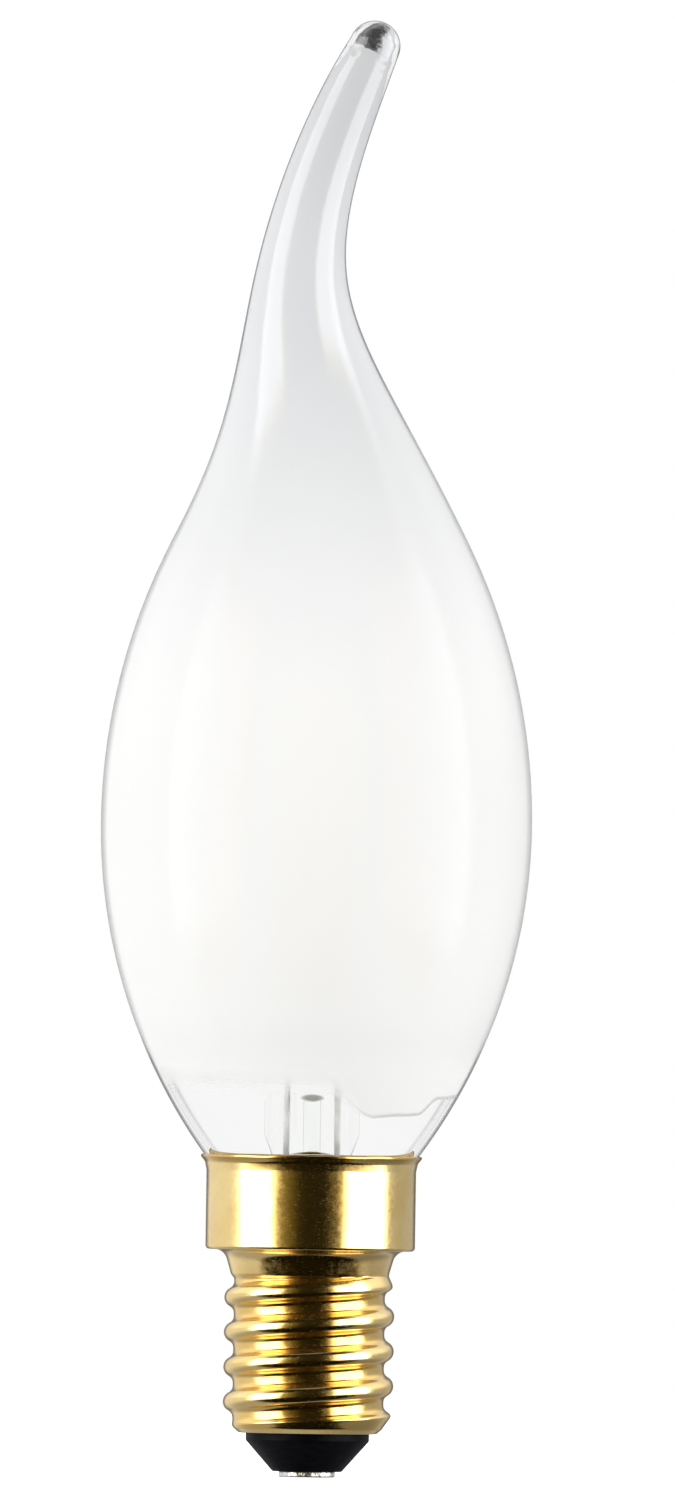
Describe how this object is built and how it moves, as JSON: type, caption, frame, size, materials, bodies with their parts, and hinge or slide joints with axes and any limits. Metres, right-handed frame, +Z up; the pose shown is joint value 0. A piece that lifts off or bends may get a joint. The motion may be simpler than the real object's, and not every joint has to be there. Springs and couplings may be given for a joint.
{
  "type": "candle bulb",
  "caption": "Frosted candle bulb with a bent flame tip on a brass screw cap, with a filament mount on a clear glass stem and a driver in the cap.",
  "frame": {"origin": "centre of the flat of the centre contact, on the cap's axis", "axes": "+Z up along the cap's axis towards the tip, +X the way the tip bends, -Y the front"},
  "size_m": [0.035, 0.035, 0.1182],
  "materials": {
    "frosted_glass": "clear outside, frosted inside, clear at the neck and the bead",
    "clear_glass": "clear, fire polished",
    "cap_brass": "bright drawn sheet",
    "black_glass": "black, satin to glossy",
    "contact_metal": "tinned",
    "phosphor": "silicone coat with yellow phosphor",
    "nickel_wire": "nickel plated",
    "cement": "baked cement",
    "circuit_board": "solder mask",
    "black_moulding": "moulded",
    "capacitor_sleeve": "shrunk sleeve",
    "resistor_coat": "lacquered",
    "hook_up_wire": "insulated wire"
  },
  "bodies": {
    "root": {"glass_envelope": "frosted_glass", "glass_stem": "clear_glass", "cap_shell": "cap_brass", "cap_insulator": "black_glass", "centre_contact": "contact_metal", "filament_tabs": "nickel_wire", "lead_wire_left": "nickel_wire", "lead_wire_right": "nickel_wire", "crossbar_left": "nickel_wire", "crossbar_right": "nickel_wire", "top_link_front": "nickel_wire", "top_link_back": "nickel_wire", "base_cement": "cement", "driver_board": "circuit_board", "bridge_rectifier": "black_moulding", "driver_chip": "black_moulding", "smoothing_capacitor": "capacitor_sleeve", "fusible_resistor": "resistor_coat", "shell_lead": "hook_up_wire", "contact_lead": "hook_up_wire", "led_filament_1": "phosphor", "led_filament_2": "phosphor", "led_filament_3": "phosphor", "led_filament_4": "phosphor"}
  },
  "joints": []
}
